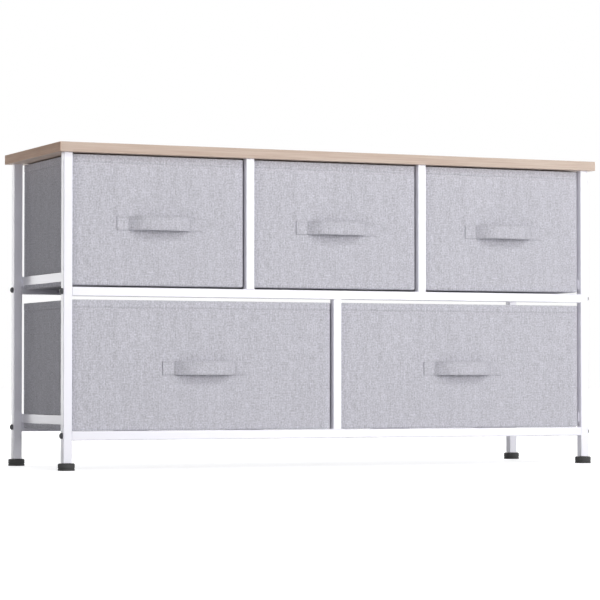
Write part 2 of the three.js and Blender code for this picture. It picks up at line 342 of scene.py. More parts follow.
@cache
def grain_effect() -> bpy.types.NodeTree:
    """Wood grain that runs along X: broad bands, fine lines and short dark pores.

    Returns:
        The group, with a Colour and a Height from 0 to 1.
    """
    bench, given, result = open_effect(
        "wood_grain",
        [
            ("Place", "Vector", None),
            ("Pale", "Color", (0.8, 0.8, 0.8, 1.0)),
            ("Deep", "Color", (0.2, 0.2, 0.2, 1.0)),
            ("Figure", "Float", 1.0),
        ],
        [("Colour", "Color"), ("Height", "Float")],
    )
    place = given["Place"]
    drift = bench.noise(place, (1.6, 9.0, 9.0), 2.0)
    bands = bench.noise(place, (3.0, 75.0, 75.0), 3.0)
    lines = bench.noise(place, (11.0, 520.0, 520.0), 2.0)
    pores = bench.noise(place, (45.0, 1500.0, 1500.0), 1.0)
    figure = bench.calc("SUBTRACT", bench.calc("ADD", drift, bands), 1.0)
    share = bench.calc("MULTIPLY_ADD", figure, given["Figure"], 0.62)
    share = bench.calc("MULTIPLY_ADD", bench.swing(lines), given["Figure"], share)
    pits = bench.rise(pores, 0.28, 0.4)
    share = bench.calc("MULTIPLY", share, bench.between(pits, 0.72, 1.0), clamp=True)
    colour = bench.blend(share, given["Deep"], given["Pale"])
    height = bench.calc("MULTIPLY", bench.between(lines, 0.4, 1.0), pits)
    return close_effect(bench, result, Colour=colour, Height=height)


@cache
def skin_effect() -> bpy.types.NodeTree:
    """The soft pebbling of a sprayed or moulded skin, with faint marks of handling.

    Returns:
        The group, with a Tone round 1, Marks from 0 to 1 and a Height from 0 to 1.
    """
    bench, given, result = open_effect(
        "pebbled_skin",
        [("Place", "Vector", None), ("Pebbles", "Float", 900.0), ("Uneven", "Float", 0.02)],
        [("Tone", "Float"), ("Marks", "Float"), ("Height", "Float")],
    )
    place = given["Place"]
    count = given["Pebbles"]
    pebbles = bench.noise(place, bench.triple(count, count, count))
    cloud = bench.noise(place, (9.0, 9.0, 9.0), 2.0)
    rubs = bench.noise(place, (55.0, 55.0, 14.0), 3.0)
    tone = bench.calc("MULTIPLY_ADD", bench.swing(cloud), given["Uneven"], 1.0)
    marks = bench.rise(rubs, 0.45, 0.75)
    return close_effect(bench, result, Tone=tone, Marks=marks, Height=pebbles)


def open_finish(name: str) -> tuple[Bench, bpy.types.Node]:
    """Starts a material.

    Args:
        name: The material's name.

    Returns:
        Its bench and its Principled shader.
    """
    material = bpy.data.materials.new(name)
    material.use_nodes = True
    return Bench(material.node_tree), material.node_tree.nodes["Principled BSDF"]


# Finishes


@dataclass(frozen=True)
class ClothFinish:
    """Woven polyester with a linen look, or the plainer lining inside a drawer."""

    name: str
    colour: Colour
    threads: float = 1250.0
    slub: float = 0.45
    mottle: float = 0.55
    warp: float = 0.12
    painted_thread_shade: float = 0.12
    relief: float = 0.00022
    relief_strength: float = 0.6
    roughness: float = 0.92
    sheen: float = 0.12

    def material(self) -> bpy.types.Material:
        """Builds the cloth's material from the place along the piece's skin.

        Returns:
            The new material.
        """
        bench, shader = open_finish(self.name)
        weave = bench.effect(
            weave_effect(),
            Place=bench.on_skin(),
            Threads=self.threads,
            Slub=self.slub,
            Mottle=self.mottle,
            Warp=self.warp,
            Thread_Contrast=self.painted_thread_shade,
        )
        bench.fill(
            shader,
            Base_Color=bench.tinted(self.colour, weave.outputs["Tone"]),
            Normal=bench.bump(weave.outputs["Height"], self.relief_strength, self.relief),
            Roughness=self.roughness,
            Sheen_Weight=self.sheen,
            Sheen_Roughness=0.5,
            Specular_IOR_Level=0.25,
        )
        return bpy.data.materials[self.name]


@dataclass(frozen=True)
class ThreadFinish:
    """Twisted sewing thread."""

    name: str
    colour: Colour
    twists: float = 420.0
    twist_strength: float = 0.4
    twist_depth: float = 0.0001

    def material(self) -> bpy.types.Material:
        """Builds the thread's material, with the twist as slanting lines in the bump and painted
        shade in its grooves.

        Returns:
            The new material.
        """
        bench, shader = open_finish(self.name)
        inputs = {"Vector": bench.on_skin(), "Scale": self.twists, "Distortion": 0.4}
        twist = bench.node("ShaderNodeTexWave", inputs, bands_direction="DIAGONAL").outputs[1]
        # Painted shade: the tone is darker in the twist's grooves, where the bump is low.
        tone = bench.between(twist, 0.86, 1.06)
        bench.fill(
            shader,
            Base_Color=bench.tinted(self.colour, tone),
            Normal=bench.bump(twist, self.twist_strength, self.twist_depth),
            Roughness=0.7,
            Sheen_Weight=0.1,
        )
        return bpy.data.materials[self.name]


@dataclass(frozen=True)
class WoodFinish:
    """A pale printed oak under a sealed skin, whose end faces may take painted shade in warmer,
    deeper colours.
    """

    name: str
    pale: Colour
    deep: Colour
    grain: Grain
    end_pale: Colour | None = None
    painted_shade_end_deep: Colour | None = None
    figure: float = 1.1
    pore_depth: float = 0.0001
    pore_strength: float = 0.35
    roughness: float = 0.5
    polish: float = 0.1
    specular: float = 0.5

    def material(self) -> bpy.types.Material:
        """Builds the wood's material, with its grain along the board or the band.

        Returns:
            The new material.
        """
        bench, shader = open_finish(self.name)
        place = bench.in_frame() if self.grain is Grain.ALONG_BOARD else bench.on_skin()
        pale, deep = self.pale, self.deep
        # Painted shade: faces that look along X blend to the warmer, deeper end colours.
        if self.end_pale and self.painted_shade_end_deep:
            normal = bench.node("ShaderNodeNewGeometry").outputs["True Normal"]
            facing = bench.node("ShaderNodeSeparateXYZ", {0: normal}).outputs[0]
            painted_shade_share = bench.calc("ABSOLUTE", facing)
            pale = bench.blend(painted_shade_share, self.pale, self.end_pale)
            deep = bench.blend(painted_shade_share, self.deep, self.painted_shade_end_deep)
        wood = bench.effect(grain_effect(), Place=place, Pale=pale, Deep=deep, Figure=self.figure)
        skin = bench.effect(skin_effect(), Place=place, Pebbles=1400.0, Uneven=0.05)
        handled = self.roughness - self.polish
        bench.fill(
            shader,
            Base_Color=wood.outputs["Colour"],
            Normal=bench.bump(wood.outputs["Height"], self.pore_strength, self.pore_depth),
            Roughness=bench.between(skin.outputs["Marks"], self.roughness, handled),
            Specular_IOR_Level=self.specular,
        )
        return bpy.data.materials[self.name]


@dataclass(frozen=True)
class SkinFinish:
    """Powder coat, moulded plastic or blackened steel: one colour under a pebbled skin."""

    name: str
    colour: Colour
    pebbles: float
    pebble_depth: float
    roughness: float
    rubbed: float
    uneven: float = 0.03
    pebble_strength: float = 0.5

    def material(self) -> bpy.types.Material:
        """Builds the skin's material from the place in the dresser's frame.

        Returns:
            The new material.
        """
        bench, shader = open_finish(self.name)
        skin = bench.effect(
            skin_effect(), Place=bench.in_frame(), Pebbles=self.pebbles, Uneven=self.uneven
        )
        bench.fill(
            shader,
            Base_Color=bench.tinted(self.colour, skin.outputs["Tone"]),
            Roughness=bench.between(skin.outputs["Marks"], self.roughness, self.rubbed),
            Normal=bench.bump(skin.outputs["Height"], self.pebble_strength, self.pebble_depth),
        )
        return bpy.data.materials[self.name]


@dataclass(frozen=True)
class Finishes:
    """Every finish of the dresser."""

    linen: ClothFinish = ClothFinish("grey_linen", paint(198, 197, 205))
    lining: ClothFinish = ClothFinish(
        "grey_lining",
        paint(168, 167, 173),
        threads=700.0,
        slub=0.1,
        mottle=0.25,
        warp=0.04,
        painted_thread_shade=0.1,
        sheen=0.05,
    )
    thread: ThreadFinish = ThreadFinish("grey_thread", paint(184, 183, 190))
    board: WoodFinish = WoodFinish(
        "pale_oak_board", paint(219, 200, 186), paint(186, 160, 142), Grain.ALONG_BOARD
    )
    band: WoodFinish = WoodFinish(
        "pale_oak_band",
        paint(217, 201, 188),
        paint(188, 163, 147),
        Grain.ALONG_BAND,
        # Painted shade on the band's end faces: its warmer, deeper end colours.
        paint(237, 208, 188),
        paint(206, 169, 147),
        roughness=0.75,
        specular=0.06,
    )
    coat: SkinFinish = SkinFinish(
        "white_powder_coat", paint(243, 242, 250), 850.0, 0.00003, 0.24, 0.2, uneven=0.012
    )
    plastic: SkinFinish = SkinFinish(
        "black_plastic", paint(44, 44, 46), 2600.0, 0.00004, 0.42, 0.34
    )
    black_steel: SkinFinish = SkinFinish(
        "black_steel", paint(52, 52, 58), 1800.0, 0.00002, 0.36, 0.3
    )

    def built(self) -> dict[str, bpy.types.Material]:
        """Builds every material once.

        Returns:
            The materials by the finish's field name.
        """
        return {name: getattr(self, name).material() for name in self.__dataclass_fields__}


# Surfaces


@dataclass
class Surface:
    """Points, faces and places in metres of one piece, before it becomes a mesh."""

    points: list[tuple[float, ...]] = field(default_factory=list)
    faces: list[tuple[int, ...]] = field(default_factory=list)
    places: list[tuple[tuple[float, float], ...]] = field(default_factory=list)

    def add_rings(
        self,
        rings: np.ndarray,
        around: np.ndarray,
        across: np.ndarray,
        closed: bool = True,
    ) -> None:
        """Adds a skin over closed rings.

        Args:
            rings: Ring by point by coordinate.
            around: Length along a ring at each point, and at its first point again.
            across: Length up to each ring, and up to the first one again where closed is False.
            closed: True closes the first and last rings with a face each. False joins them to
                each other, so that the skin runs round like a tyre.
        """
        count, size = rings.shape[:2]
        start = len(self.points)
        self.points.extend(map(tuple, rings.reshape(-1, 3).tolist()))
        for i in range(count - 1 if closed else count):
            low = start + i * size
            high = start + ((i + 1) % count) * size
            for j in range(size):
                k = (j + 1) % size
                self.faces.append((low + j, low + k, high + k, high + j))
                self.places.append(
                    (
                        (around[j], across[i]),
                        (around[j + 1], across[i]),
                        (around[j + 1], across[i + 1]),
                        (around[j], across[i + 1]),
                    )
                )
        if closed:
            for ring, flip in ((0, -1), (count - 1, 1)):
                order = list(range(size))[::flip]
                self.faces.append(tuple(start + ring * size + j for j in order))
                self.places.append(tuple((rings[ring, j, 0], rings[ring, j, 1]) for j in order))

    def add_lathe(
        self, profile: Sequence[tuple[float, float]], steps: int, centre: Sequence[float]
    ) -> None:
        """Adds a round skin about an upright axis.

        Args:
            profile: Radius and height of each ring, from below.
            steps: Points round a ring.
            centre: The axis' foot.
        """
        rings = np.array([circle(r, full_turn(steps), z) for r, z in profile]) + np.array(centre)
        widest = max(r for r, _ in profile)
        self.add_rings(rings, girth(widest, steps), lengths_along(rings[:, 0]))

    def turned(self, matrix: np.ndarray, origin: Sequence[float]) -> "Surface":
        """The same skin, turned and moved."""
        moved = np.array(self.points) @ matrix.T + np.array(origin)
        return Surface(list(map(tuple, moved.tolist())), list(self.faces), list(self.places))


def lengths_along(points: np.ndarray, closed: bool = False) -> np.ndarray:
    """Length along a line of points, up to each point.

    Args:
        points: The line's points.
        closed: True adds the way back to the first point.

    Returns:
        The lengths, from zero.
    """
    line = np.vstack([points, points[:1]]) if closed else points
    steps = np.linalg.norm(np.diff(line, axis=0), axis=1)
    return np.concatenate([[0.0], np.cumsum(steps)])


def full_turn(steps: int) -> np.ndarray:
    """Evenly spaced angles round one turn, in radians."""
    return np.linspace(0, 2 * math.pi, steps, endpoint=False)


def girth(radius: float, steps: int) -> np.ndarray:
    """Length round a circle, up to each of its points and back to the first."""
    return np.linspace(0, 2 * math.pi * radius, steps + 1)


def circle(radius: float | np.ndarray, turn: np.ndarray, level: float) -> np.ndarray:
    """Points round the upright axis.

    Args:
        radius: Their distance from the axis, the same for all or one for each.
        turn: Their angles.
        level: Their height.

    Returns:
        Point by coordinate.
    """
    flat = [radius * np.cos(turn), radius * np.sin(turn)]
    return np.stack([*flat, np.full(len(turn), level)], axis=1)


def skin_over(
    rings: Sequence[np.ndarray], ring: int = 0, point: int = 0, closed: bool = True
) -> Surface:
    """A skin over rings, with places that are measured on the rings themselves.

    Args:
        rings: The rings, in order.
        ring: The ring whose length round is measured.
        point: The point whose way from ring to ring is measured.
        closed: What Surface.add_rings makes of the first and last rings.

    Returns:
        The new skin.
    """
    stack = np.array(rings)
    around = lengths_along(stack[ring], closed=True)
    surface = Surface()
    surface.add_rings(stack, around, lengths_along(stack[:, point], closed=not closed), closed)
    return surface


def sew(
    surface: Surface,
    line: np.ndarray,
    outward: np.ndarray,
    pitch: float,
    radius: float,
    closed: bool,
) -> None:
    """Lays a row of stitches along a line on the cloth.

    Args:
        surface: The thread's skin, which the stitches are added to.
        line: Points along the seam.
        outward: The direction off the cloth at each point.
        pitch: Length of one stitch with its gap.
        radius: Radius of the thread.
        closed: True where the seam comes back to its start.
    """
    if closed:
        line = np.vstack([line, line[:1]])
        outward = np.vstack([outward, outward[:1]])
    along = lengths_along(line)
    count = max(int(along[-1] / pitch), 1)
    starts = np.arange(count) * along[-1] / count
    share = np.array([0.06, 0.2, 0.5, 0.8, 0.94])
    lift = np.array([-0.3, 0.45, 0.7, 0.45, -0.3]) * radius
    thickness = np.array([0.45, 0.95, 1.0, 0.95, 0.45]) * radius
    spots = starts[:, None] + share[None, :] * along[-1] / count

    def at(values: np.ndarray) -> np.ndarray:
        """Values along the seam, read at each stitch's spots."""
        return np.stack([np.interp(spots, along, values[:, i]) for i in range(3)], axis=-1)

    centre = at(line)
    normal = at(outward)
    normal /= np.linalg.norm(normal, axis=-1, keepdims=True)
    run = centre[:, -1] - centre[:, 0]
    run = run / np.linalg.norm(run, axis=-1, keepdims=True)
    cross = np.cross(run[:, None, :], normal)
    centre = centre + normal * lift[None, :, None]
    turn = full_turn(THREAD_SIDES)
    rings = centre[:, :, None, :] + thickness[None, :, None, None] * (
        np.cos(turn)[None, None, :, None] * normal[:, :, None, :]
        + np.sin(turn)[None, None, :, None] * cross[:, :, None, :]
    )
    for stitch, spot in zip(rings, spots):
        surface.add_rings(stitch, girth(radius, THREAD_SIDES), spot)


def add_piece(
    name: str,
    surface: Surface,
    finish: bpy.types.Material,
    body: str,
    stands_for: Sequence[str] = (),
    crease: float = 40.0,
) -> bpy.types.Object:
    """Makes one piece of the dresser from its skin, and gives it its body and finish.

    Args:
        name: The piece's name.
        surface: Its skin.
        finish: Its material.
        body: The moving body it rides on.
        stands_for: The CAD nodes that it replaces.
        crease: Edges sharper than this many degrees stay sharp.

    Returns:
        The new object.
    """
    mesh = bpy.data.meshes.new(name)
    mesh.from_pydata(surface.points, [], surface.faces)
    layer = mesh.uv_layers.new(name=PLACE_UV)
    corners = np.array([c for face in surface.places for c in face], np.float32)
    layer.data.foreach_set("uv", corners.ravel())
    work = bmesh.new()
    work.from_mesh(mesh)
    bmesh.ops.recalc_face_normals(work, faces=work.faces)
    work.to_mesh(mesh)
    work.free()
    mesh.materials.append(finish)
    mesh.polygons.foreach_set("use_smooth", [True] * len(mesh.polygons))
    mesh.set_sharp_from_angle(angle=math.radians(crease))
    mesh.update()
    made = bpy.data.objects.new(name, mesh)
    bpy.context.scene.collection.objects.link(made)
    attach(made, body)
    if stands_for:
        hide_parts(*stands_for)
    LOG.info("%s: %d faces on %s", name, len(mesh.polygons), body)
    return made


def rounded_outline(
    low: tuple[float, float],
    high: tuple[float, float],
    corner: float,
    runs: tuple[int, int],
    bends: int,
    rear_corner: float | None = None,
    crowding: float = 0.0,
) -> np.ndarray:
    """A rectangle with round corners, seen from above.

    Args:
        low: Its lowest X and Y.
        high: Its highest X and Y.
        corner: Radius of its corners.
        runs: Points on a straight stretch along X and along Y.
        bends: Steps in each corner.
        rear_corner: Radius of the two rear corners, where it isn't that of the front ones.
        crowding: How far the points draw together near the corners, from 0 to 1.

    Returns:
        Its points in X and Y, from the front left, first along the front.
    """
    (x0, y0), (x1, y1) = low, high
    rear = corner if rear_corner is None else rear_corner
    along = [
        ((x0 + corner, y0), (x1 - corner, y0), runs[0]),
        ((x1, y0 + corner), (x1, y1 - rear), runs[1]),
        ((x1 - rear, y1), (x0 + rear, y1), runs[0]),
        ((x0, y1 - rear), (x0, y0 + corner), runs[1]),
    ]
    centres = [
        (x1 - corner, y0 + corner),
        (x1 - rear, y1 - rear),
        (x0 + rear, y1 - rear),
        (x0 + corner, y0 + corner),
    ]
    radii = (corner, rear, rear, corner)
    points: list[tuple[float, float]] = []
    for i, ((a, b), (c, d), count) in enumerate(along):
        for even in np.linspace(0, 1, count + 1)[:-1]:
            t = even + (even * even * (3 - 2 * even) - even) * crowding
            points.append((a + (c - a) * t, b + (d - b) * t))
        first = -math.pi / 2 + i * math.pi / 2
        for t in np.linspace(0, 1, bends + 1)[:-1]:
            angle = first + t * math.pi / 2
            points.append(
                (
                    centres[i][0] + radii[i] * math.cos(angle),
                    centres[i][1] + radii[i] * math.sin(angle),
                )
            )
    return np.array(points)


def inset_ring(
    box: tuple[Vector, Vector],
    inset: float,
    corner: float,
    runs: tuple[int, int],
    bends: int,
    level: float,
) -> np.ndarray:
    """A level ring with round corners, inside the sides of a box.

    Args:
        box: The box's lowest and highest corners.
        inset: How far inside the box's sides the ring lies.
        corner: Radius of its corners.
        runs: Points on a straight stretch along X and along Y.
        bends: Steps in each corner.
        level: The ring's height.

    Returns:
        Its points.
    """
    low, high = box
    plan = rounded_outline(
        (low.x + inset, low.y + inset), (high.x - inset, high.y - inset), corner, runs, bends
    )
    return np.column_stack([plan, np.full(len(plan), level)])


# The steel frame


@dataclass
class SteelFrame:
    """The white tube frame: its CAD tubes and bars take the coat, and weld beads are added."""

    coat: bpy.types.Material
    plastic: bpy.types.Material
    bead: float = 1.5 * MM
    bead_end: float = 0.15
    bead_sides: int = 8
    ripples: int = 9
    ripple_steps: int = 4
    ripple_depth: float = 0.1
    rail_inset: float = 2 * MM
    divider_inset: float = 1.5 * MM
    dividers: tuple[tuple[str, int], ...] = (("upper", 2), ("lower", 1))
    steel: tuple[str, ...] = ("leg_", "front_rail", "rear_rail", "side_rail", "divider_", "bar_")

    def dress(self, nodes: dict[str, bpy.types.Object]) -> None:
        """Gives the tubes, bars and plugs their finishes.

        Args:
            nodes: The CAD nodes by name.
        """
        for name, node in sorted(nodes.items()):
            if name.startswith(self.steel):
                node.material_slots[0].material = self.coat
                LOG.info("%s: powder coat", name)
            elif name.startswith("board_peg"):
                node.material_slots[0].material = self.plastic
                LOG.info("%s: moulded plastic", name)

    def weld(self, surface: Surface, start: Vector, end: Vector, inward: Vector) -> None:
        """Adds one rippled bead along the corner between two parts.

        Args:
            surface: The beads' skin.
            start: One end of the corner line.
            end: The other end.
            inward: A unit direction from the corner into the open, between both faces.
        """
        run = end - start
        cross = run.normalized().cross(inward)
        steps = self.ripples * self.ripple_steps
        rings = []
        for i in range(steps + 1):
            t = i / steps
            taper = min(1.0, 4.0 * math.sqrt(max(t * (1 - t), 0.0)) + self.bead_end)
            ripple = self.ripple_depth * abs(math.sin(self.ripples * math.pi * t))
            size = self.bead * taper * (1 - self.ripple_depth + ripple)
            centre = start + run * t
            ring = []
            for j in range(self.bead_sides):
                angle = 2 * math.pi * j / self.bead_sides
                spoke = inward * math.cos(angle) + cross * math.sin(angle)
                ring.append(tuple(centre + spoke * size))
            rings.append(ring)
        along = np.linspace(0, run.length, steps + 1)
        surface.add_rings(np.array(rings), girth(self.bead, self.bead_sides), along)

    def build_beads(self) -> None:
        """Welds the side rails to the legs, and the dividers to the rails."""
        surface = Surface()
        slope = math.sqrt(0.5)
        for side in Side:
            for tier in ("upper", "lower"):
                low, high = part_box(f"side_rail_{tier}_{side.name.lower()}")
                wall = high.x if side is Side.RIGHT else low.x
                for face in Face:
                    leg_low, leg_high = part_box(f"leg_{face.name.lower()}_{side.name.lower()}")
                    start = max(low.y, leg_low.y) + self.rail_inset
                    end = min(high.y, leg_high.y) - self.rail_inset
                    for level, up in ((high.z, 1), (low.z, -1)):
                        self.weld(
                            surface,
                            Vector((wall, start, level)),
                            Vector((wall, end, level)),
                            Vector((-side.value * slope, 0, up * slope)),
                        )
        for tier, count in self.dividers:
            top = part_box(f"front_rail_{tier}")[1].z
            for number in range(1, count + 1):
                low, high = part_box(f"divider_{tier}_{number}")
                for x, way in ((low.x, -1), (high.x, 1)):
                    self.weld(
                        surface,
                        Vector((x, low.y + self.divider_inset, top)),
                        Vector((x, high.y - self.divider_inset, top)),
                        Vector((way * slope, 0, slope)),
                    )
        add_piece("weld_beads", surface, self.coat, "frame", crease=70.0)


# The board


@dataclass
class TopBoard:
    """A panel with a wood print, and a thin band glued round its edge."""

    board: bpy.types.Material
    band: bpy.types.Material
    corner: float = 2.0 * MM
    band_thick: float = 0.9 * MM
    band_round: float = 0.6 * MM
    band_runs: tuple[int, int] = (40, 14)
    band_bends: int = 6
    panel_round: float = 0.25 * MM
    panel_runs: tuple[int, int] = (12, 4)
    panel_bends: int = 4
    joint: float = 0.05 * MM

    def build(self) -> None:
        """Builds the panel and its band in the place of the CAD board."""
        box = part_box("top_board")
        low, high = box
        inset = self.band_thick + self.joint
        corner = self.corner - self.band_thick
        rings = [
            inset_ring(box, inset + back, corner, self.panel_runs, self.panel_bends, level)
            for back, level in (
                (self.panel_round, low.z),
                (0.0, low.z + self.panel_round),
                (0.0, high.z - self.panel_round),
                (self.panel_round, high.z),
            )
        ]
        panel = skin_over(rings, ring=1)
        add_piece("top_panel", panel, self.board, "frame", ["top_board"], crease=30.0)

        middle = (low.z + high.z) / 2
        rings = [
            inset_ring(box, back, self.corner - back, self.band_runs, self.band_bends, middle + up)
            for back, up in self.band_section((high.z - low.z) / 2)
        ]
        edge = skin_over(rings, closed=False)
        add_piece("edge_band", edge, self.band, "frame", crease=50.0)

    def band_section(self, half: float) -> list[tuple[float, float]]:
        """The band's section, as how far each point is back from the board's edge, and its level.

        Args:
            half: Half the board's thickness.

        Returns:
            The section's points, from the outer face's foot up and back down inside.
        """
        points = []
        for way in (-1, 1):
            arc = [
                (
                    self.band_round * (1 - math.sin(angle)),
                    way * (half - self.band_round * (1 - math.cos(angle))),
                )
                for angle in np.linspace(0, math.pi / 2, 5)
            ]
            points.extend(arc if way < 0 else arc[::-1])
        return [*points, (self.band_thick, half), (self.band_thick, -half)]


# Hardware


@dataclass
class LegBolt:
    """A domed black bolt with a hexagon socket, through a leg into a rail."""

    node: str
    side: Side
    steel: bpy.types.Material
    head_radius: float = 5.0 * MM
    head_height: float = 4.5 * MM
    rim_height: float = 0.8 * MM
    rim_round: float = 0.25 * MM
    dome_angles: tuple[float, float] = (0.12, 1.12)
    dome_power: float = 0.9
    dome_rings: int = 8
    shank_radius: float = 3.0 * MM
    shank_chamfer: float = 0.6 * MM
    seat: float = 0.02 * MM
    socket_radius: float = 1.75 * MM
    socket_depth: float = 2.2 * MM
    socket_mouth: float = 1.06
    lip_rise: float = 0.08 * MM
    lip_fall: float = 0.05 * MM
    steps: int = 36

    def profile(self, reach: float) -> list[tuple[float, float]]:
        """Radius and level of the rings of the shank and the head.

        Args:
            reach: How far the shank goes in under the head.

        Returns:
            The profile, from the shank's end out to the rim of the socket.
        """
        shank, head = self.shank_radius, self.head_radius
        rows = [
            (shank - self.shank_chamfer, -reach),
            (shank, -reach + self.shank_chamfer),
            (shank, -self.seat),
            (head - self.rim_round, 0.0),
            (head, self.rim_round),
            (head, self.rim_height),
        ]
        dome = self.head_height - self.rim_height
        for angle in np.linspace(*self.dome_angles, self.dome_rings):
            radius = head * math.cos(angle) ** self.dome_power
            rows.append((radius, self.rim_height + dome * math.sin(angle)))
        return rows

    def build(self) -> None:
        """Builds the bolt with its dome, socket and shank in the place of the CAD bolt."""
        low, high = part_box(self.node)
        base = low.x + self.head_height if self.side is Side.LEFT else high.x - self.head_height
        turn = full_turn(self.steps)
        sector = (turn + math.pi / 6) % (math.pi / 3) - math.pi / 6
        hexagon = self.socket_radius * math.cos(math.pi / 6) / np.cos(sector)
        profile = self.profile(high.x - low.x - self.head_height)
        top = profile[-1][1]
        rings = [circle(radius, turn, level) for radius, level in profile]
        rings.append(circle(hexagon * self.socket_mouth, turn, top + self.lip_rise))
        rings += [circle(hexagon, turn, top - drop) for drop in (self.lip_fall, self.socket_depth)]
        stack = np.array(rings)
        skin = Surface()
        skin.add_rings(stack, girth(self.head_radius, self.steps), lengths_along(stack[:, 0]))
        out = float(self.side.value)
        matrix = np.array([[0, 0, out], [1, 0, 0], [0, out, 0]], float)
        moved = skin.turned(matrix, (base, (low.y + high.y) / 2, (low.z + high.z) / 2))
        name = f"{self.node}_dome"
        add_piece(name, moved, self.steel, "frame", [self.node], crease=35.0)


@dataclass
class LevellingFoot:
    """A round grooved pad on a threaded stud, which screws into the foot of a leg."""

    face: Face
    side: Side
    plastic: bpy.types.Material
    steel: bpy.types.Material
    pad_height: float = 11.9 * MM
    pad_steps: int = 64
    edge: float = 2.4 * MM
    sole_middle: float = 0.3
    sole_hollow: float = 0.5 * MM
    sole_rings: tuple[float, float] = (3.2 * MM, 2.6 * MM)
    sole_round: float = 0.2 * MM
    sole_band: float = 0.8 * MM
    groove_level: float = 3.6 * MM
    groove_depth: float = 0.7 * MM
    groove_half: float = 0.55 * MM
    groove_floor: float = 0.4
    stud_radius: float = 3.0 * MM
    stud_core: float = 0.8
    stud_steps: int = 20
    thread_pitch: float = 1.0 * MM
    thread_depth: float = 0.45 * MM
    thread_fade: float = 1.2 * MM
    thread_end: float = 0.25
    turn_rings: int = 5

    def build(self) -> None:
        """Builds the pad and the stud in the place of the CAD foot."""
        node = f"foot_{self.face.name.lower()}_{self.side.name.lower()}"
        low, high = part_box(node)
        centre = ((low.x + high.x) / 2, (low.y + high.y) / 2, low.z)
        radius = (high.x - low.x) / 2
        pad = Surface()
        pad.add_lathe(self.pad_profile(radius), self.pad_steps, centre)
        add_piece(f"{node}_pad", pad, self.plastic, node, [node], crease=35.0)
        stud = Surface()
        self.add_thread(stud, centre, high.z - low.z)
        add_piece(f"{node}_stud", stud, self.steel, node, crease=60.0)

    def pad_profile(self, radius: float) -> list[tuple[float, float]]:
        """Radius and height of the pad's rings.

        Args:
            radius: The pad's radius.

        Returns:
            The profile, from the sole's middle up to the stud.
        """
        inner, outer = self.sole_rings
        level, half = self.groove_level, self.groove_half
        floor = half * self.groove_floor
        profile = [
            (radius * self.sole_middle, self.sole_hollow),
            (radius - inner, self.sole_hollow),
            (radius - outer, 0.0),
            (radius - self.sole_round, 0.0),
            (radius, self.sole_round),
            (radius, self.sole_band),
            (radius, level - half - 0.3 * MM),
            (radius - 0.2 * MM, level - half),
            (radius - self.groove_depth, level - floor),
            (radius - self.groove_depth, level + floor),
            (radius - 0.25 * MM, level + half),
            (radius, level + half + 0.35 * MM),
        ]
        for angle in np.linspace(0, math.pi / 2, 6):
            back = self.edge * (1 - math.cos(angle))
            profile.append((radius - back, self.pad_height - self.edge * (1 - math.sin(angle))))
        profile.append((self.stud_radius * self.stud_core, self.pad_height))
        return profile

    def add_thread(self, surface: Surface, centre: Sequence[float], top: float) -> None:
        """Adds the stud with its screw thread.

        Args:
            surface: The stud's skin.
            centre: The foot's place on the floor.
            top: Height of the stud's end above the floor.
        """
        turn = full_turn(self.stud_steps)
        start = self.pad_height - self.thread_pitch
        turns = int((top - start) / self.thread_pitch)
        levels = np.linspace(start, top, turns * self.turn_rings + 1)
        rings = []
        for z in levels:
            phase = (z / self.thread_pitch - turn / (2 * math.pi)) % 1.0
            ridge = 1 - np.abs(2 * phase - 1)
            fade = min(1.0, (top - z) / self.thread_fade + self.thread_end)
            stud = self.stud_radius * (self.stud_core + (1 - self.stud_core) * fade)
            rings.append(circle(stud - self.thread_depth * (1 - ridge) * fade, turn, z))
        around = girth(self.stud_radius, self.stud_steps)
        surface.add_rings(np.array(rings) + np.array(centre), around, levels)


# Drawers


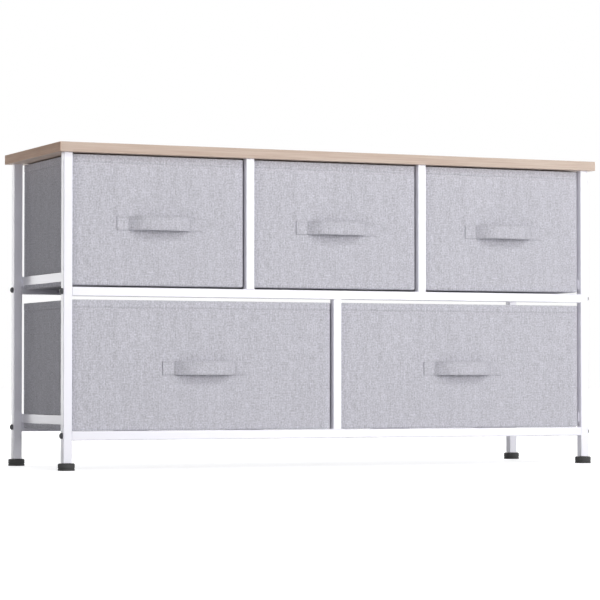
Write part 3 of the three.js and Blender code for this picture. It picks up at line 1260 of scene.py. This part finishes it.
@dataclass
class LinenDrawer:
    """A stiffened linen drawer: shell, hem, lining, floor board and strap handle.

    The fields whose names end in rows hold heights in millimetres, one for each ring.
    """

    name: str
    linen: bpy.types.Material
    lining: bpy.types.Material
    thread: bpy.types.Material
    wall: float = 3.0 * MM
    front_wall: float = 5.0 * MM
    corner: float = 2.0 * MM
    rear_corner: float = 0.9 * MM
    inner_corner: float = 1.0 * MM
    toe: float = 3.5 * MM
    heel: float = 8.0 * MM
    side_foot: float = 3.4 * MM
    least_foot: float = 0.6 * MM
    hem: float = 13.0 * MM
    hem_groove: float = 0.65 * MM
    hem_pad: float = 0.3 * MM
    rim_height: float = 1.6 * MM
    crown: float = 0.5 * MM
    crown_power: int = 4
    rear_share: float = 0.3
    skin_depth: float = 8 * MM
    fade_power: int = 6
    edge_fall: float = 3.0 * MM
    edge_reach: float = 11.0 * MM
    edge_power: float = 2.2
    crowding: float = 0.93
    hollow: float = 0.5 * MM
    waviness: float = 0.1 * MM
    wave_count: int = 5
    wave_rate: tuple[float, float] = (18, 70)
    side_shift: float = 0.37
    stitch: float = 3.6 * MM
    thread_radius: float = 0.28 * MM
    lining_thick: float = 0.3 * MM
    lining_gap: float = 0.05 * MM
    lining_edge: float = 0.2 * MM
    lining_drop: float = 2.5 * MM
    floor_corner: float = 2.5 * MM
    floor_runs: tuple[int, int] = (30, 24)
    floor_bends: int = 4
    foot_rows: tuple[float, ...] = (0.0, 0.12, 0.45, 1.0, 1.8, 2.8, 4.0, 5.2, 6.6, 8.2, 10.0)
    inside_rows: tuple[float, ...] = (30, 60, 100, 150)
    inside_foot_rows: tuple[float, ...] = (16, 12, 9, 7, 5.4, 4.3, 3.5, 3.0)
    lining_rows: tuple[float, ...] = (1.3, 2.4, 4.0, 6.0, 9.0, 13.0)
    mesh_step: float = 9.0 * MM
    bends: int = 6
    low: Vector = field(init=False)
    high: Vector = field(init=False)

    def __post_init__(self) -> None:
        """Reads the drawer's place from its CAD box, and draws its waves from its own name."""
        self.low, self.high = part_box(f"{self.name}_box")
        dice = random.Random(self.name)
        ranges = (self.wave_rate, self.wave_rate, (0, 2 * math.pi), (0.4, 1.0))
        self.waves = [
            tuple(dice.uniform(*limits) for limits in ranges) for _ in range(self.wave_count)
        ]

    @property
    def width(self) -> float:
        """The drawer's width."""
        return self.high.x - self.low.x

    @property
    def depth(self) -> float:
        """The drawer's depth."""
        return self.high.y - self.low.y

    @property
    def height(self) -> float:
        """The drawer's height."""
        return self.high.z - self.low.z

    def wave(self, along: np.ndarray, level: np.ndarray) -> np.ndarray:
        """The cloth's slight unevenness.

        Args:
            along: Distance along the wall.
            level: Height on the wall.

        Returns:
            How far the cloth stands off its board, either way.
        """
        total = np.zeros_like(along)
        for a, b, phase, size in self.waves:
            total = total + size * np.sin(a * along + phase) * np.cos(b * level + 2 * phase)
        return total * self.waviness / len(self.waves)

    def ring(self, share: float, level: float, groove: float = 0.0) -> np.ndarray:
        """One ring of the walls.

        Args:
            share: From 0 on the outside of the wall to 1 on its inside.
            level: Height above the drawer's underside.
            groove: How far the skin is drawn into the wall, or stands off it where negative.

        Returns:
            The ring's points in the row frame.
        """
        base = self.wall * share

        def foot(radius: float) -> float:
            """How far a rounded foot draws the wall in at this height.

            Args:
                radius: The foot's radius on the outside of the wall.

            Returns:
                The distance inward.
            """
            radius = max(radius - base, self.least_foot)
            gap = max(radius - max(level - base, 0.0), 0.0)
            return radius - math.sqrt(max(radius * radius - gap * gap, 0.0))

        side = foot(self.side_foot)
        plan = rounded_outline(
            (base + side, self.front_wall * share + foot(self.toe)),
            (self.width - base - side, self.depth - base - foot(self.heel)),
            self.corner * (1 - share) + self.inner_corner * share,
            (round(self.width / self.mesh_step), round(self.depth / self.mesh_step)),
            self.bends,
            self.rear_corner * (1 - share) + self.inner_corner * share,
            self.crowding,
        )
        ring = np.column_stack([plan, np.full(len(plan), level)])
        return self.shaped(ring, groove * (1 - 2 * share)) + np.array(self.low)

    def shaped(self, ring: np.ndarray, groove: float) -> np.ndarray:
        """Gives a ring the walls' crown, hollow and waves, and the front its soft side edges.

        Args:
            ring: Points in the drawer's own frame.
            groove: How far each point moves toward the inside of the drawer.

        Returns:
            The moved points.
        """

        def near(away: np.ndarray, reach: float = self.skin_depth, power: float = 1) -> np.ndarray:
            """1 where a wall is, and less further away from it."""
            return np.clip(1 - away / reach, 0, 1) ** power

        def bulge(place: np.ndarray, size: float, power: int) -> np.ndarray:
            """1 in the middle of a wall, and 0 at both of its ends."""
            return np.clip(1 - (2 * place / size - 1) ** power, 0, 1)

        x, y, z = ring.T
        edge = bulge(z, self.height, self.crown_power)
        ends = bulge(x, self.width, self.fade_power)
        sides = bulge(y, self.depth, self.fade_power)
        out = self.wave(x, z)
        across = self.hollow + self.wave(y + self.side_shift, z)
        moved = ring.copy()
        fall = near(np.minimum(x, self.width - x), self.edge_reach, self.edge_power)
        moved[:, 1] += self.edge_fall * fall * near(y, self.front_wall)
        front = near(y - self.front_wall) * ends
        moved[:, 1] -= front * (self.crown * edge + out * edge)
        rear = near(self.depth - y - self.wall) * ends
        moved[:, 1] -= rear * (self.rear_share * self.hollow * edge + out * edge)
        moved[:, 0] += near(x - self.wall) * sides * edge * across
        moved[:, 0] -= near(self.width - x - self.wall) * sides * edge * across
        if groove:
            nxt, prev = np.roll(ring, -1, axis=0), np.roll(ring, 1, axis=0)
            run = nxt[:, :2] - prev[:, :2]
            run /= np.linalg.norm(run, axis=1, keepdims=True)
            moved[:, 0] -= run[:, 1] * groove
            moved[:, 1] += run[:, 0] * groove
        return moved

    def build_shell(self) -> None:
        """Builds the linen shell, from its underside up, over the rim and down inside."""
        top = self.height
        climb = np.arange(17.0, (top - self.hem) / MM - 5, 7.0)
        rings = [self.ring(0.0, level * MM) for level in (*self.foot_rows, *climb)]
        rings += [self.ring(0.0, top - drop, groove) for drop, groove in self.hem_shape()]

        for angle in np.linspace(0, math.pi, 15):
            across = math.copysign(math.sqrt(abs(math.cos(angle))), math.cos(angle))
            level = top - self.rim_height * (1 - math.sqrt(math.sin(angle)))
            rings.append(self.ring((1 - across) / 2, level, -self.hem_pad * abs(across)))

        rings += [self.ring(1.0, top - drop, groove) for drop, groove in self.hem_shape()[::-1]]
        inside = (*self.inside_rows[::-1], *self.inside_foot_rows)
        rings += [self.ring(1.0, level * MM) for level in inside]
        add_piece(
            f"{self.name}_shell",
            skin_over(rings, ring=len(self.foot_rows) + 2, point=3),
            self.linen,
            self.name,
            [f"{self.name}_box"],
            crease=75.0,
        )

    def hem_shape(self) -> list[tuple[float, float]]:
        """The folded hem's shape on a wall.

        Returns:
            Distance below the rim, and how deep the skin is drawn in there, from below.
        """
        pad, groove = -self.hem_pad, self.hem_groove
        return [
            (self.hem + 3.2 * MM, 0.0),
            (self.hem + 1.4 * MM, 0.05 * MM),
            (self.hem + 0.6 * MM, groove * 0.6),
            (self.hem, groove),
            (self.hem - 0.6 * MM, groove * 0.6),
            (self.hem - 1.3 * MM, pad * 0.6),
            (self.hem - 3.0 * MM, pad),
            (self.hem / 2, pad),
            (3.6 * MM, pad),
        ]

    def build_stitches(self) -> None:
        """Sews the hem, outside and inside."""
        surface = Surface()
        for share, way in ((0.0, 1.0), (1.0, -1.0)):
            line = self.ring(share, self.height - self.hem, self.hem_groove * 0.75)
            nxt, prev = np.roll(line, -1, axis=0), np.roll(line, 1, axis=0)
            run = nxt - prev
            outward = np.column_stack([run[:, 1], -run[:, 0], np.zeros(len(run))]) * way
            sew(surface, line, outward, self.stitch, self.thread_radius, closed=True)
        name = f"{self.name}_hem_stitches"
        add_piece(name, surface, self.thread, self.name, crease=80.0)

    def build_lining(self) -> None:
        """Builds the lining, a thin cup that lies on the inside of the shell below the hem."""
        gap, inside = self.lining_gap, self.lining_gap + self.lining_thick
        top = self.height - self.hem - self.lining_drop
        floor = self.wall + gap
        walls = [level * MM for level in self.inside_rows]
        rows = [(gap, floor)]
        rows += [(gap, floor + level * MM) for level in (0.5, *self.lining_rows)]
        rows += [(gap, level) for level in (*walls, top - self.lining_edge)]
        rows += [(gap + self.lining_thick / 2, top)]
        rows += [(inside, level) for level in (top - self.lining_edge, *walls[::-1])]
        rows += [(inside, floor + level * MM) for level in (*self.lining_rows[::-1], 0.6, 0.3)]
        rings = [self.ring(1.0, level, -depth) for depth, level in rows]
        skin = skin_over(rings, ring=len(rows) // 2, point=3)
        name = f"{self.name}_lining"
        add_piece(name, skin, self.lining, self.name, crease=75.0)

    def build_floor(self) -> None:
        """Builds the floor board, wrapped in lining cloth, with soft edges."""
        node = f"{self.name}_floor"
        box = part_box(node)
        middle, half = (box[0].z + box[1].z) / 2, (box[1].z - box[0].z) / 2
        rings = [
            inset_ring(
                box,
                half * (1 - math.cos(angle)),
                self.floor_corner,
                self.floor_runs,
                self.floor_bends,
                middle + half * math.sin(angle),
            )
            for angle in np.linspace(-math.pi / 2, math.pi / 2, 9)
        ]
        skin = skin_over(rings, ring=4)
        add_piece(f"{self.name}_floor_board", skin, self.lining, self.name, [node])

    def build(self) -> None:
        """Builds every piece of the drawer."""
        self.build_shell()
        self.build_stitches()
        self.build_lining()
        self.build_floor()
        StrapHandle(self.name, self.linen, self.thread).build()


@dataclass
class StrapHandle:
    """A folded linen strap: two sewn tabs and a bridge that stands off the drawer's front."""

    drawer: str
    linen: bpy.types.Material
    thread: bpy.types.Material
    thick: float = 2.2 * MM
    tab: float = 22.5 * MM
    end_fold: float = 1.25
    overhang: float = 0.4 * MM
    end_inset: float = 1.0 * MM
    ramp: float = 36.0 * MM
    ramp_power: float = 1.9
    sink: float = 0.35 * MM
    row_inset: float = 2.2 * MM
    dent: float = 0.25 * MM
    plain: float = 1.6 * MM
    plain_points: int = 7
    tab_points: int = 9
    ramp_points: int = 18
    bridge_points: int = 13
    cross_rows: tuple[float, float] = (2.0 * MM, 2.5 * MM)
    cross_points: int = 9
    stitch: float = 3.2 * MM
    thread_radius: float = 0.26 * MM

    def __post_init__(self) -> None:
        """Reads the strap's place from its CAD box."""
        self.low, self.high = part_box(f"{self.drawer}_strap")
        self.middle = (self.low + self.high) / 2
        self.half = (self.high.x - self.low.x) / 2
        self.half_height = (self.high.z - self.low.z) / 2 + self.overhang
        self.reach = self.high.y - self.low.y - self.thick

    def lift(self, x: np.ndarray) -> np.ndarray:
        """How far the strap stands off the drawer.

        Args:
            x: Distance from the strap's middle, either way.

        Returns:
            The gap behind the strap.
        """
        start = self.half - self.tab
        share = np.clip((start - np.abs(x)) / self.ramp, 0, 1)
        return self.reach * (1 - (1 - share) ** self.ramp_power)

    def path(self) -> tuple[np.ndarray, np.ndarray]:
        """The strap's line seen from above.

        Returns:
            Points on its back face, and the direction off the drawer at each.
        """
        start = self.half - self.tab
        near = np.concatenate(
            [
                np.linspace(-self.half + self.end_inset, -start - 0.6 * MM, self.tab_points),
                -start + np.array([-0.2, 0.2, 0.6, 1.2]) * MM,
                np.linspace(-start + 2.2 * MM, -start + self.ramp, self.ramp_points),
            ]
        )
        bridge = np.linspace(-start + self.ramp, start - self.ramp, self.bridge_points)
        x = np.concatenate([near, bridge[1:-1], -near[::-1]])
        points = np.column_stack([x, -self.lift(x)])
        run = np.gradient(points, axis=0)
        run /= np.linalg.norm(run, axis=1, keepdims=True)
        outward = np.column_stack([run[:, 1], -run[:, 0]])
        return points, outward

    def section(self) -> list[tuple[float, float]]:
        """The strap's section: how far each point is off its back, and its height.

        Returns:
            Points from the lower edge up the front and down the back.
        """
        half, thick = self.half_height, self.thick
        row = -half + self.row_inset
        foot = [
            (0.0, -half + 0.6 * MM),
            (0.2 * thick, -half + 0.12 * MM),
            (0.55 * thick, -half),
            (thick * 0.9, -half + 0.35 * MM),
            (thick, -half + 1.0 * MM),
            (thick, row - 0.6 * MM),
            (thick - self.dent, row),
            (thick - 0.05 * MM, row + 0.7 * MM),
        ]
        front = np.linspace(row + self.plain, -row - self.plain, self.plain_points)
        back = np.linspace(half - self.plain, -half + self.plain, self.plain_points)
        head = [(off, -z) for off, z in reversed(foot)]
        return foot + [(thick, z) for z in front] + head + [(0.0, z) for z in back]

    def build(self) -> None:
        """Builds the strap and its stitches in the place of the CAD strap."""
        points, outward = self.path()
        back = self.high.y + self.sink
        section = self.section()
        ends = (0, 1, len(points) - 2, len(points) - 1)
        rings = []
        for i, ((x, y), (nx, ny)) in enumerate(zip(points, outward)):
            fold = self.end_fold if i in ends else 1.0
            x, y = self.middle.x + x, back + y
            rings.append(
                [(x + nx * n * fold, y + ny * n * fold, self.middle.z + z) for n, z in section]
            )
        stack = np.array(rings)
        surface = Surface()
        around = lengths_along(stack[len(rings) // 2], closed=True)
        surface.add_rings(stack, around, lengths_along(stack[:, 6]) + self.middle.x)
        surface.places = [tuple((v, u) for u, v in face) for face in surface.places]
        add_piece(
            f"{self.drawer}_handle",
            surface,
            self.linen,
            self.drawer,
            [f"{self.drawer}_strap"],
            crease=65.0,
        )
        self.sew_rows(points, outward, back)

    def sew_rows(self, points: np.ndarray, outward: np.ndarray, back: float) -> None:
        """Sews both long edges, and a row across each end of each tab.

        Args:
            points: The strap's line on its back face.
            outward: The direction off the drawer at each point.
            back: Y of the strap's back.
        """
        surface = Surface()
        skin = self.thick - self.dent * 0.8
        face = np.column_stack(
            [
                self.middle.x + points[:, 0] + outward[:, 0] * skin,
                back + points[:, 1] + outward[:, 1] * skin,
            ]
        )
        normal = np.column_stack([outward, np.zeros(len(outward))])
        for way in (-1, 1):
            level = self.middle.z + way * (self.half_height - self.row_inset)
            line = np.column_stack([face, np.full(len(face), level)])
            sew(surface, line[1:-1], normal[1:-1], self.stitch, self.thread_radius, closed=False)
        reach = self.half_height - self.row_inset
        outer, inner = self.cross_rows
        for side in Side:
            for inset in (outer, self.tab - inner):
                x = self.middle.x + side.value * (self.half - self.end_inset - inset)
                y = back - self.thick - 0.02 * MM
                heights = np.linspace(-reach, reach, self.cross_points) + self.middle.z
                line = np.array([(x, y, z) for z in heights])
                off = np.tile([0.0, -1.0, 0.0], (len(line), 1))
                sew(surface, line, off, self.stitch, self.thread_radius, closed=False)
        name = f"{self.drawer}_handle_stitches"
        add_piece(name, surface, self.thread, self.drawer, crease=80.0)


# The studio


def add_lamp(name: str, size: tuple[float, float], energy: float) -> bpy.types.Object:
    """Adds a rectangular lamp that the camera doesn't see.

    Args:
        name: The lamp's name.
        size: Its width and height.
        energy: Its light, in watts.

    Returns:
        The lamp, at the origin.
    """
    lamp = bpy.data.lights.new(name, "AREA")
    lamp.shape = "RECTANGLE"
    lamp.size, lamp.size_y = size
    lamp.energy = energy
    made = bpy.data.objects.new(name, lamp)
    made.visible_camera = False
    bpy.context.scene.collection.objects.link(made)
    return made


@dataclass(frozen=True)
class Softbox:
    """A soft lamp that looks at the dresser's middle."""

    name: str
    azimuth: float
    elevation: float
    width: float
    height: float
    strength: float
    distance: float = 6.0

    def build(self, target: Vector) -> None:
        """Adds the lamp. With a strength of 1, a surface that faces it looks as its colour says.

        Args:
            target: What the lamp looks at.
        """
        turn, rise = math.radians(self.azimuth), math.radians(self.elevation)
        toward = Vector(
            (math.sin(turn) * math.cos(rise), -math.cos(turn) * math.cos(rise), math.sin(rise))
        )
        energy = self.strength * (math.pi * self.distance) ** 2
        made = add_lamp(self.name, (self.width, self.height), energy)
        made.location = target + toward * self.distance
        made.rotation_mode = "QUATERNION"
        made.rotation_quaternion = toward.to_track_quat("Z", "Y")
        LOG.info("lamp %s: strength %.2f", self.name, self.strength)


@dataclass
class Studio:
    """The plain pale room: floor, background, lamps and the camera.

    The floor's glow lights nothing: it shows to the eye, in mirrors and through glass. It is
    weaker near the dresser, so that a shadow shows, and rises to white from the first length in
    glow_reach to the second.
    """

    floor_size: float = 60.0
    floor_level: float = 0.0
    ambient: float = 0.002
    floor_glow: float = 0.7
    glow_reach: tuple[float, float] = (2.5, 7.0)
    floor_colour: Colour = paint(208, 208, 210)
    target: Vector = field(default_factory=lambda: Vector((0.0, 0.0, 0.28)))
    bounce_size: tuple[float, float] = (3.6, 1.8)
    bounce_gap: float = 0.15
    bounce_level: float = 4 * MM
    bounce_glow: float = 0.05
    sensor: float = 36.0
    lens: float = 156.88
    view_end: float = 200.0
    camera_place: tuple[float, float, float] = (-1.8586, -4.1768, 0.1495)
    camera_pitch: float = 91.7248
    camera_yaw: float = -23.8805
    lamps: tuple[Softbox, ...] = (
        Softbox("key", 25.0, 5.0, 1.5, 2.6, 0.42),
        Softbox("front_left", -5.0, 5.0, 1.5, 2.6, 0.23),
        Softbox("high_front", 10.0, 35.0, 3.4, 2.0, 0.33),
        Softbox("left", -65.0, 5.0, 1.5, 2.6, 0.13),
        Softbox("right", 95.0, 12.0, 2.4, 2.4, 0.2),
        Softbox("rear_left", -152.0, 8.6, 1.2, 1.35, 0.14, 2.8),
        Softbox("rear_right", 160.0, 14.0, 3.0, 2.4, 0.4),
        Softbox("top", 180.0, 80.0, 2.4, 2.4, 0.22),
    )

    def build_floor(self) -> None:
        """Lays the floor, which shows white to the camera and keeps the dresser's shadow."""
        mesh = bpy.data.meshes.new("studio_floor")
        half = self.floor_size / 2
        corners = [(-half, -half), (half, -half), (half, half), (-half, half)]
        mesh.from_pydata([(x, y, self.floor_level) for x, y in corners], [], [(0, 1, 2, 3)])
        bench, shader = open_finish("studio_floor")
        seen = self.seen_ray(bench)
        place = bench.node("ShaderNodeNewGeometry").outputs["Position"]
        away = bench.node("ShaderNodeVectorMath", {0: place}, operation="LENGTH").outputs["Value"]
        start, end = self.glow_reach
        far = bench.calc("DIVIDE", bench.calc("SUBTRACT", away, start), end - start, clamp=True)
        glow = bench.between(far, self.floor_glow, 1.0)
        bench.fill(
            shader,
            Base_Color=self.floor_colour,
            Roughness=0.9,
            Specular_IOR_Level=0.1,
            Emission_Color=WHITE,
            Emission_Strength=bench.calc("MULTIPLY", seen, glow),
        )
        mesh.materials.append(bpy.data.materials["studio_floor"])
        made = bpy.data.objects.new("studio_floor", mesh)
        bpy.context.scene.collection.objects.link(made)
        LOG.info("studio_floor: %.0f m square", self.floor_size)

    def build_bounce(self) -> None:
        """Lays a glowing card on the floor in front, which lights the dresser from below."""
        width, depth = self.bounce_size
        energy = self.bounce_glow * math.pi * width * depth
        made = add_lamp("bounce_card", self.bounce_size, energy)
        front = CAD_BOX[0][1] - self.bounce_gap
        made.location = (0.0, front - depth / 2, self.floor_level + self.bounce_level)
        made.rotation_euler = (math.pi, 0.0, 0.0)
        LOG.info("bounce_card: glow %.2f", self.bounce_glow)

    def seen_ray(self, bench: Bench) -> bpy.types.NodeSocket:
        """Tells the rays that show the background: from the camera, a mirror or glass.

        Args:
            bench: The material or world that asks.

        Returns:
            1 for such a ray, 0 for one that lights the room.
        """
        path = bench.node("ShaderNodeLightPath").outputs
        seen = bench.calc("MAXIMUM", path["Is Camera Ray"], path["Is Glossy Ray"])
        return bench.calc("MAXIMUM", seen, path["Is Transmission Ray"])

    def build_world(self) -> None:
        """Makes the background white to the eye, with a weak even light from all round."""
        world = bpy.data.worlds.new("studio")
        world.use_nodes = True
        bpy.context.scene.world = world
        bench = Bench(world.node_tree)
        shader = world.node_tree.nodes["Background"]
        strength = bench.between(self.seen_ray(bench), self.ambient, 1.0)
        bench.fill(shader, Color=WHITE, Strength=strength)

    def build_camera(self) -> None:
        """Sets the camera where the photograph was taken from."""
        lens = bpy.data.cameras.new("photo_camera")
        lens.sensor_width = self.sensor
        lens.lens = self.lens
        lens.clip_end = self.view_end
        camera = bpy.data.objects.new("photo_camera", lens)
        camera.location = self.camera_place
        pitch, yaw = math.radians(self.camera_pitch), math.radians(self.camera_yaw)
        camera.rotation_euler = (pitch, 0.0, yaw)
        bpy.context.scene.collection.objects.link(camera)
        bpy.context.scene.camera = camera

    def build(self) -> None:
        """Builds the room."""
        bpy.context.scene.view_settings.view_transform = "Standard"
        self.build_floor()
        self.build_world()
        self.build_camera()
        self.build_bounce()
        for lamp in self.lamps:
            lamp.build(self.target)


def main() -> None:
    """Builds the room and every piece of the dresser."""
    logging.basicConfig(level=logging.INFO, format="%(message)s")
    finish = Finishes().built()
    Studio().build()
    steel = SteelFrame(finish["coat"], finish["plastic"])
    steel.dress(frame["nodes"])
    steel.build_beads()
    TopBoard(finish["board"], finish["band"]).build()
    for face in Face:
        for side in Side:
            LevellingFoot(face, side, finish["plastic"], finish["black_steel"]).build()
            for tier in ("upper", "lower"):
                node = f"bolt_{face.name.lower()}_{tier}_{side.name.lower()}"
                LegBolt(node, side, finish["black_steel"]).build()
    for tier, places in (("upper", ("left", "middle", "right")), ("lower", ("left", "right"))):
        for place in places:
            LinenDrawer(
                f"drawer_{tier}_{place}", finish["linen"], finish["lining"], finish["thread"]
            ).build()


if __name__ == "__main__":
    main()
